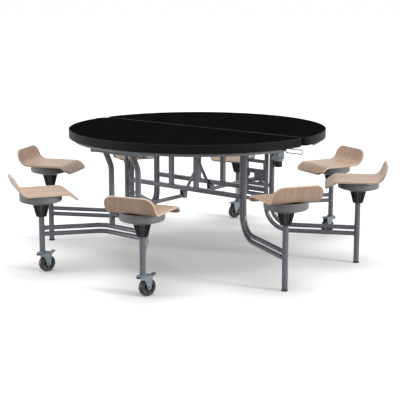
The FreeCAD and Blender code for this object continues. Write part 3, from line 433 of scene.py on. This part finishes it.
def lay_floor():
    data = bpy.data.meshes.new("floor")
    disc = bmesh.new()
    bmesh.ops.create_circle(disc, cap_ends=True, segments=FLOOR_STEPS, radius=FLOOR_RADIUS)
    disc.to_mesh(data)
    disc.free()
    floor = bpy.data.objects.new("floor", data)
    bpy.context.scene.collection.objects.link(floor)
    pale = Shader("floor", Roughness=0.9, Specular_IOR_Level=0.0)
    data.materials.append(pale.finish(pale.mix(seen_rays(pale.tree), FLOOR_BOUNCE, FLOOR_SEEN)))


def light_world():
    world = bpy.data.worlds.new("studio")
    bpy.context.scene.world = world
    world.use_nodes = True
    tree = world.node_tree
    sky = tree.nodes["Background"]
    sky.inputs["Color"].default_value = (1, 1, 1, 1)
    level = tree.nodes.new("ShaderNodeMapRange")
    level.inputs["To Min"].default_value = WORLD_LIGHT
    level.inputs["To Max"].default_value = WORLD_SEEN
    tree.links.new(seen_rays(tree), level.inputs["Value"])
    tree.links.new(level.outputs["Result"], sky.inputs["Strength"])


def sun(name, toward, strength, width):
    """A distant lamp that shines from a direction, as wide as a soft box."""
    data = bpy.data.lights.new(name, "SUN")
    data.energy = strength
    data.angle = math.radians(width)
    lamp = bpy.data.objects.new(name, data)
    lamp.rotation_euler = Vector(toward).to_track_quat("Z", "Y").to_euler()
    bpy.context.scene.collection.objects.link(lamp)


place_camera()
bpy.context.scene.view_settings.view_transform = "Standard"
lay_floor()
light_world()
for name, values in SUNS.items():
    sun(name, *values)


# seats

HUB_RADIUS, HUB_MARGIN = 118 * MM, 1.2 * MM
BACK_LIP, BACK_ANGLE, BACK_BEND = 96 * MM, math.radians(68), 52 * MM
FRONT_LIP, FRONT_ANGLE, FRONT_BEND = 70 * MM, math.radians(36), 52 * MM
BACK_CUT = BACK_BEND * math.tan(BACK_ANGLE / 2)
FRONT_CUT = FRONT_BEND * math.tan(FRONT_ANGLE / 2)
SEAT_BACK, SEAT_FRONT = HUB_RADIUS, HUB_RADIUS + HUB_MARGIN + FRONT_CUT
SEAT_HALF = 140 * MM
BACK_CORNER, FRONT_CORNER = 50 * MM, 44 * MM
ARRIS, ARRIS_TURNS = 1.6 * MM, (0, 0.52, 1.05, QUARTER)
SEAT_ACROSS, CORNER_ROWS, BEND_ROWS, MIN_ROWS = 16, 8, 10, 2
ROW_STEP, ROW_MERGE = 30 * MM, 0.4 * MM
GRAIN_SHIFT, CROSS_SHIFT_SHARE = 0.37, 0.7
FACE, EDGE = 0, 1
# The upper surface from the back tip to the front tip: length and bend radius of each run.
RUNS = (
    (BACK_LIP - BACK_CUT, None),
    (BACK_BEND * BACK_ANGLE, BACK_BEND),
    (SEAT_BACK + SEAT_FRONT - BACK_CUT - FRONT_CUT, None),
    (FRONT_BEND * FRONT_ANGLE, -FRONT_BEND),
    (FRONT_LIP - FRONT_CUT, None),
)
SEAT_LENGTH = sum(length for length, _ in RUNS)


def seat_point(s):
    """Point and normal of the upper surface at a length from the back tip."""
    x = -SEAT_BACK - BACK_LIP * math.cos(BACK_ANGLE)
    z = BACK_LIP * math.sin(BACK_ANGLE)
    heading = -BACK_ANGLE
    for length, radius in RUNS:
        step = min(s, length)
        if radius is None:
            x += step * math.cos(heading)
            z += step * math.sin(heading)
        else:
            turned = heading + step / radius
            x += radius * (math.sin(turned) - math.sin(heading))
            z -= radius * (math.cos(turned) - math.cos(heading))
            heading = turned
        s -= step
        if s <= 0:
            break
    return (x, z), (-math.sin(heading), math.cos(heading))


def seat_rows():
    """Lengths along the seat at which the mesh has rows."""
    marks = set()
    for k in range(CORNER_ROWS + 1):
        share = 1 - math.cos(QUARTER * k / CORNER_ROWS)
        marks.add(BACK_CORNER * share)
        marks.add(SEAT_LENGTH - FRONT_CORNER * share)
    at = 0
    for length, radius in RUNS:
        count = max(MIN_ROWS, round(length / ROW_STEP)) if radius is None else BEND_ROWS
        for k in range(count + 1):
            marks.add(at + length * k / count)
        at += length
    rows = []
    for mark in sorted(marks):
        if not rows or mark - rows[-1] > ROW_MERGE:
            rows.append(mark)
    rows[-1] = SEAT_LENGTH
    return rows


def seat_spot(row, column, inset, depth):
    """A point in from the outline and below the upper surface, and its place in the grain."""
    s = inset + row * (SEAT_LENGTH - 2 * inset) / SEAT_LENGTH
    half = SEAT_HALF - inset
    for corner, gap in ((BACK_CORNER, s), (FRONT_CORNER, SEAT_LENGTH - s)):
        r, gap = corner - inset, gap - inset
        if gap < r:
            half = min(half, SEAT_HALF - inset - r + math.sqrt(max(0, r * r - (r - gap) ** 2)))
    y = half * (2 * column / SEAT_ACROSS - 1)
    (x, z), (nx, nz) = seat_point(s)
    return (x - nx * depth, y, z - nz * depth), (s, y)


def seat_mesh(name, shift):
    """A bent plywood seat: upper and lower veneer, and a rounded edge with its plies."""
    rows = seat_rows()
    last = len(rows) - 1
    columns = range(SEAT_ACROSS + 1)
    verts, grain, faces = [], [], []

    def put(i, j, inset, depth):
        point, along = seat_spot(rows[i], j, inset, depth)
        verts.append(point)
        grain.append(along)
        return len(verts) - 1

    top = [[put(i, j, ARRIS, 0) for j in columns] for i in range(len(rows))]
    low = [[put(i, j, ARRIS, SEAT_THICK) for j in columns] for i in range(len(rows))]
    for i in range(last):
        for j in range(SEAT_ACROSS):
            faces.append((top[i][j], top[i + 1][j], top[i + 1][j + 1], top[i][j + 1]))
            faces.append((low[i][j], low[i][j + 1], low[i + 1][j + 1], low[i + 1][j]))
    flat = len(faces)

    ring = [(0, j) for j in range(SEAT_ACROSS)] + [(i, SEAT_ACROSS) for i in range(last)]
    ring += [(last, j) for j in range(SEAT_ACROSS, 0, -1)] + [(i, 0) for i in range(last, 0, -1)]
    n = len(ring)
    steps = [(ARRIS * (1 - math.sin(a)), ARRIS * (1 - math.cos(a))) for a in ARRIS_TURNS]
    levels = steps + [(inset, SEAT_THICK - depth) for inset, depth in reversed(steps)]
    loops = [[top[i][j] for i, j in ring]]
    loops += [[put(i, j, inset, depth) for i, j in ring] for inset, depth in levels[1:-1]]
    loops.append([low[i][j] for i, j in ring])
    for upper, lower in zip(loops, loops[1:]):
        for m in range(n):
            b = (m + 1) % n
            faces.append((upper[m], upper[b], lower[b], lower[m]))

    thing = mesh_piece(name, verts, faces)
    paint(thing, "plywood", "ply_edge")
    widest = [Vector(verts[v]) for v in loops[len(steps) - 1]]
    lengths = [0.0]
    for m in range(n):
        lengths.append(lengths[-1] + (widest[(m + 1) % n] - widest[m]).length)
    layer = thing.data.uv_layers.new(name="UVMap")
    for face in thing.data.polygons:
        if face.index < flat:
            face.material_index = FACE
            for loop in face.loop_indices:
                s, y = grain[thing.data.loops[loop].vertex_index]
                layer.data[loop].uv = (s + shift, y + shift * CROSS_SHIFT_SHARE)
        else:
            face.material_index = EDGE
            k, m = divmod(face.index - flat, n)
            along = (lengths[m], lengths[m + 1], lengths[m + 1], lengths[m])
            deep = (levels[k][1], levels[k][1], levels[k + 1][1], levels[k + 1][1])
            for loop, u, v in zip(face.loop_indices, along, deep):
                layer.data[loop].uv = (u, v)
    return thing


# How far each seat is turned from facing the middle of the table, in degrees.
SEAT_TURNS = {1: -9, 2: 0, 3: -7, 4: -8, 5: 9, 6: 0, 7: -8, 8: -7}

for number, turn in SEAT_TURNS.items():
    shell = seat_mesh("seat_%d_ply" % number, GRAIN_SHIFT * number)
    x, y, _ = JOINTS["seat_%d_swivel" % number]["pos_m"]
    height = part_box("seat_%d_hub" % number)[1][2] + SEAT_THICK
    inward = math.atan2(-y, -x) + math.radians(turn)
    shell.data.transform(Matrix.Translation((x, y, height)) @ Matrix.Rotation(inward, 4, "Z"))
    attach(shell, "seat_%d" % number)
    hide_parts("seat_%d_shell" % number)


# casters

CASTERS = (1, 3, 6, 8)
WHEEL_HALF, TYRE_DEPTH, TYRE_ROUND, TYRE_CROWN = 15 * MM, 11 * MM, 5 * MM, 0.8 * MM
WHEEL_STEPS, SHOULDER_STEPS = 72, 6
WHEEL_HUB, WHEEL_WEB, AXLE = 13 * MM, 5 * MM, 5.1 * MM
RIM_GAP, CORE_INSET, WEB_SLOPE = 0.2 * MM, 0.4 * MM, 1 * MM
RIBS, RIB_HALF, RIB_DROP, RIB_OVERLAP = 6, 2 * MM, 2.5 * MM, 1 * MM
FORK_FACE, BOLT_RADIUS, BOLT_HEIGHT, BOLT_SIDES = 20.5 * MM, 8 * MM, 5 * MM, 6
HEAD_RADIUS, RACE_HEIGHT, RACE_WIRE = 24 * MM, 111.5 * MM, 0.9 * MM
RACE_STEPS, WIRE_SIDES = 64, 8
PEDAL_KNEE, PEDAL_END, PEDAL_RISE, PEDAL_HALF = 53 * MM, 76 * MM, 13 * MM, 14 * MM
RIDGE_RADIUS, RIDGE_SHARES = 0.9 * MM, (0.3, 0.55, 0.8)
# Faces of a box whose corners are listed with x changing fastest and z slowest.
BOX_FACES = [(0, 1, 5, 4), (2, 6, 7, 3), (0, 4, 6, 2), (1, 3, 7, 5), (4, 5, 7, 6), (0, 2, 3, 1)]


def tyre(radius):
    """A soft tread with a low crown and rounded shoulders."""
    inner = radius - TYRE_DEPTH
    shoulder = []
    for k in range(SHOULDER_STEPS + 1):
        a = QUARTER * k / SHOULDER_STEPS
        r = radius - TYRE_CROWN - TYRE_ROUND * (1 - math.sin(a))
        shoulder.append((r, WHEEL_HALF - TYRE_ROUND * (1 - math.cos(a))))
    outline = [(inner, -WHEEL_HALF)] + [(r, -z) for r, z in shoulder] + [(radius, 0)]
    return spin(outline + shoulder[::-1] + [(inner, WHEEL_HALF)], WHEEL_STEPS)


def core(radius):
    """A moulded wheel centre: rim, web, hub and six ribs on each face."""
    rim = radius - TYRE_DEPTH - RIM_GAP
    lip = rim - WHEEL_WEB
    half = WHEEL_HALF - CORE_INSET
    outline = [(AXLE, -half), (WHEEL_HUB, -half), (WHEEL_HUB + WEB_SLOPE, -WHEEL_WEB)]
    outline += [(lip - WEB_SLOPE, -WHEEL_WEB), (lip, -half), (rim, -half)]
    outline += [(r, -z) for r, z in reversed(outline)]
    parts = [spin(outline, WHEEL_STEPS)]
    high, ends = half - RIB_DROP, (WHEEL_HUB - RIB_OVERLAP, lip + RIB_OVERLAP)
    corners = [(x, y, z) for z in (-high, high) for y in (-RIB_HALF, RIB_HALF) for x in ends]
    for k in range(RIBS):
        parts.append(moved(Matrix.Rotation(TURN * k / RIBS, 4, "Z"), (corners, BOX_FACES)))
    return join(*parts)


def ring_line(radius, height, wire):
    """A thin ring about the local Z axis."""
    return spin([(radius + u, height + v) for u, v, _ in circle(wire, WIRE_SIDES)], RACE_STEPS)


def ridge(share, top):
    """One grip ridge across the sloping end of a brake pedal."""
    x = PEDAL_KNEE + (PEDAL_END - PEDAL_KNEE) * share
    z = top - PEDAL_RISE * (1 - share)
    outline = circle(RIDGE_RADIUS, WIRE_SIDES)
    ends = [side * PEDAL_HALF for side in SIDES]
    verts = [(x + u, y, z + v) for y in ends for u, v, _ in outline]
    return verts, tube_faces(len(ends), WIRE_SIDES) + caps(len(ends), WIRE_SIDES)


for number in CASTERS:
    roll = JOINTS["caster_%d_roll" % number]
    centre, axis = Vector(roll["pos_m"]), Vector(roll["axis"])
    body, wheel = "caster_%d" % number, "caster_%d_wheel" % number
    at = facing(centre, axis)
    tread = dress("caster_%d_tyre" % number, wheel, moved(at, tyre(centre.z)), "wheel_rubber")
    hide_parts(wheel)
    dress("caster_%d_core" % number, wheel, moved(at, core(centre.z)), "wheel_core", sharp=True)
    bolts = []
    for side in SIDES:
        outside = facing(centre + axis * (side * FORK_FACE), axis * side)
        bolts.append(moved(outside, screw_head(BOLT_RADIUS, BOLT_HEIGHT, BOLT_SIDES)))
    dress("caster_%d_axle_bolt" % number, body, join(*bolts), "zinc", sharp=True)
    x, y, _ = JOINTS["caster_%d_swivel" % number]["pos_m"]
    stem = Matrix.Translation((x, y, 0))
    # A dark ring of painted shade at the swivel head: it stands in for the shadow in the gap under
    # the head, not a real part.
    shade_ring = ring_line(HEAD_RADIUS, RACE_HEIGHT, RACE_WIRE)
    dress("caster_%d_race" % number, body, moved(stem, shade_ring), "race_shadow")
    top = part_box("caster_%d_pedal" % number)[1][2]
    along = stem @ Matrix.Rotation(math.atan2(-axis.x, axis.y), 4, "Z")
    ridges = [moved(along, ridge(share, top)) for share in RIDGE_SHARES]
    dress("caster_%d_grip" % number, "caster_%d_pedal" % number, join(*ridges), "zinc")


# welds

WELD_STEPS, BEAD_SIDES = 72, 8
BEAD_RADIUS, BEAD_RIPPLES, RIPPLE_SHARE = 2.4 * MM, 24, 0.14
TUBE, POST = 12.5 * MM, 16 * MM
RAIL_X, RAIL_Y = 637 * MM, 165 * MM
INNER_X, INNER_Y = 128 * MM, 437 * MM
RAIL_LEVELS = (219 * MM, 254 * MM)
LEG_LEVELS = (174 * MM, 209 * MM)
CROSSBAR, OUTER_LEG_Y = 322 * MM, 100 * MM
UPRIGHT_Y, UPRIGHT_HALF, UPRIGHT_FOOT = 95 * MM, 12.5 * MM, 422.6 * MM
# The caster seat and the plain seat on each side of each half.
SEAT_POSTS = {
    ("front", -1): (3, 4),
    ("front", 1): (1, 2),
    ("back", -1): (6, 5),
    ("back", 1): (8, 7),
}


def saddle(place, way, branch, main):
    """The closed line where a level tube along way meets an upright post."""
    way = Vector(way).normalized()
    across = Vector((-way.y, way.x, 0))
    line = []
    for off, rise, _ in circle(branch, WELD_STEPS):
        reach = math.sqrt(main * main - off * off)
        line.append(Vector(place) + way * reach + across * off + Vector((0, 0, rise)))
    return line


def square(place, half):
    """The closed line round the foot of a square upright."""
    line = []
    for k in range(WELD_STEPS):
        a = TURN * (k + 0.5) / WELD_STEPS
        x, y = math.cos(a), math.sin(a)
        size = half / max(abs(x), abs(y))
        line.append(Vector(place) + Vector((x * size, y * size, 0)))
    return line


def bead(line):
    """A rippled weld bead along a closed line."""
    n = len(line)
    verts = []
    middle = sum(line, Vector()) / n
    for k, point in enumerate(line):
        way = (line[(k + 1) % n] - line[k - 1]).normalized()
        out = point - middle
        out = (out - way * out.dot(way)).normalized()
        up = way.cross(out)
        radius = BEAD_RADIUS * (1 + RIPPLE_SHARE * math.cos(TURN * k * BEAD_RIPPLES / n))
        verts += [point + out * u + up * v for u, v, _ in circle(radius, BEAD_SIDES)]
    return verts, tube_faces(n, BEAD_SIDES, closed=True)


def post_saddles(seat, corner, levels):
    """The weld lines of a pair of tubes that run from a seat's post towards a corner."""
    x, y, _ = JOINTS["seat_%d_swivel" % seat]["pos_m"]
    way = (corner[0] - x, corner[1] - y, 0)
    return [saddle((x, y, z), way, TUBE, POST) for z in levels]


for half, x_sign in HALVES.items():
    outer, inner = [], []
    for y_sign in SIDES:
        caster_seat, plain_seat = SEAT_POSTS[half, y_sign]
        rail_x, inner_x = RAIL_X * x_sign, INNER_X * x_sign
        outer += post_saddles(caster_seat, (rail_x, RAIL_Y * y_sign), RAIL_LEVELS)
        outer.append(saddle((rail_x, OUTER_LEG_Y * y_sign, CROSSBAR), (0, -y_sign, 0), TUBE, POST))
        inner += post_saddles(plain_seat, (inner_x, INNER_Y * y_sign), LEG_LEVELS)
        inner.append(square((inner_x, UPRIGHT_Y * y_sign, UPRIGHT_FOOT), UPRIGHT_HALF))
    dress(half + "_caster_welds", half + "_outer_frame", join(*map(bead, outer)), "silver_frame")
    dress(half + "_plain_welds", half + "_inner_frame", join(*map(bead, inner)), "silver_frame")


# screws

SCREW_SIDES = 24
HINGE_Y, KNUCKLE_STEP, FLANGE_THICK = 330 * MM, 24.5 * MM, 5 * MM
FLANGE_SCREWS, FLANGE_HEAD = (28 * MM, 50 * MM), (5.5 * MM, 3 * MM)
BLOCK_SCREW_SHARES, BLOCK_SCREW_RISE, BLOCK_HEAD = (0.2, 0.55), 14 * MM, (5 * MM, 4 * MM)
# Side knuckles of the front leaves, and the middle knuckle of the back ones.
KNUCKLES = {"front": SIDES, "back": (0,)}

for half, x_sign in HALVES.items():
    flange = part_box(half + "_hinge_leaves")[1][2] - FLANGE_THICK
    heads = []
    for y_sign in SIDES:
        for knuckle in KNUCKLES[half]:
            for x in FLANGE_SCREWS:
                place = (x * x_sign, HINGE_Y * y_sign + KNUCKLE_STEP * knuckle, flange)
                head = screw_head(*FLANGE_HEAD, SCREW_SIDES)
                heads.append(moved(facing(place, (0, 0, -1)), head))
    dress(half + "_hinge_screws", half + "_top", join(*heads), "zinc", sharp=True)

block_low, block_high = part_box("latch_block")
heads = []
for share in BLOCK_SCREW_SHARES:
    x = block_low[0] + (block_high[0] - block_low[0]) * share
    place = (x, block_low[1], block_low[2] + BLOCK_SCREW_RISE)
    heads.append(moved(facing(place, (0, -1, 0)), screw_head(*BLOCK_HEAD, SCREW_SIDES)))
dress("latch_block_screws", "back_inner_frame", join(*heads), "zinc", sharp=True)


# finishes of the solids

FINISH = (
    ("_top_panel", "top_laminate"),
    ("_edge_band", "edge_band"),
    ("_pivot_pins", "zinc"),
    ("_hinge_leaves", "zinc"),
    ("seam_hinge_pins", "zinc"),
    ("_cones", "black_plastic"),
    ("_feet", "black_rubber"),
    ("rubber_stop", "black_rubber"),
    ("latch_handle", "chrome_wire"),
    ("latch_block", "zinc"),
    ("stop_bracket", "zinc"),
    ("_hub", "grey_plastic"),
    ("_fork", "zinc"),
    ("_pedal", "zinc"),
    ("_wheel", "wheel_rubber"),
    ("_shell", "plywood"),
)
for name, thing in NODES.items():
    endings = [finish for ending, finish in FINISH if name.endswith(ending)]
    paint(thing, endings[-1] if endings else "silver_frame")
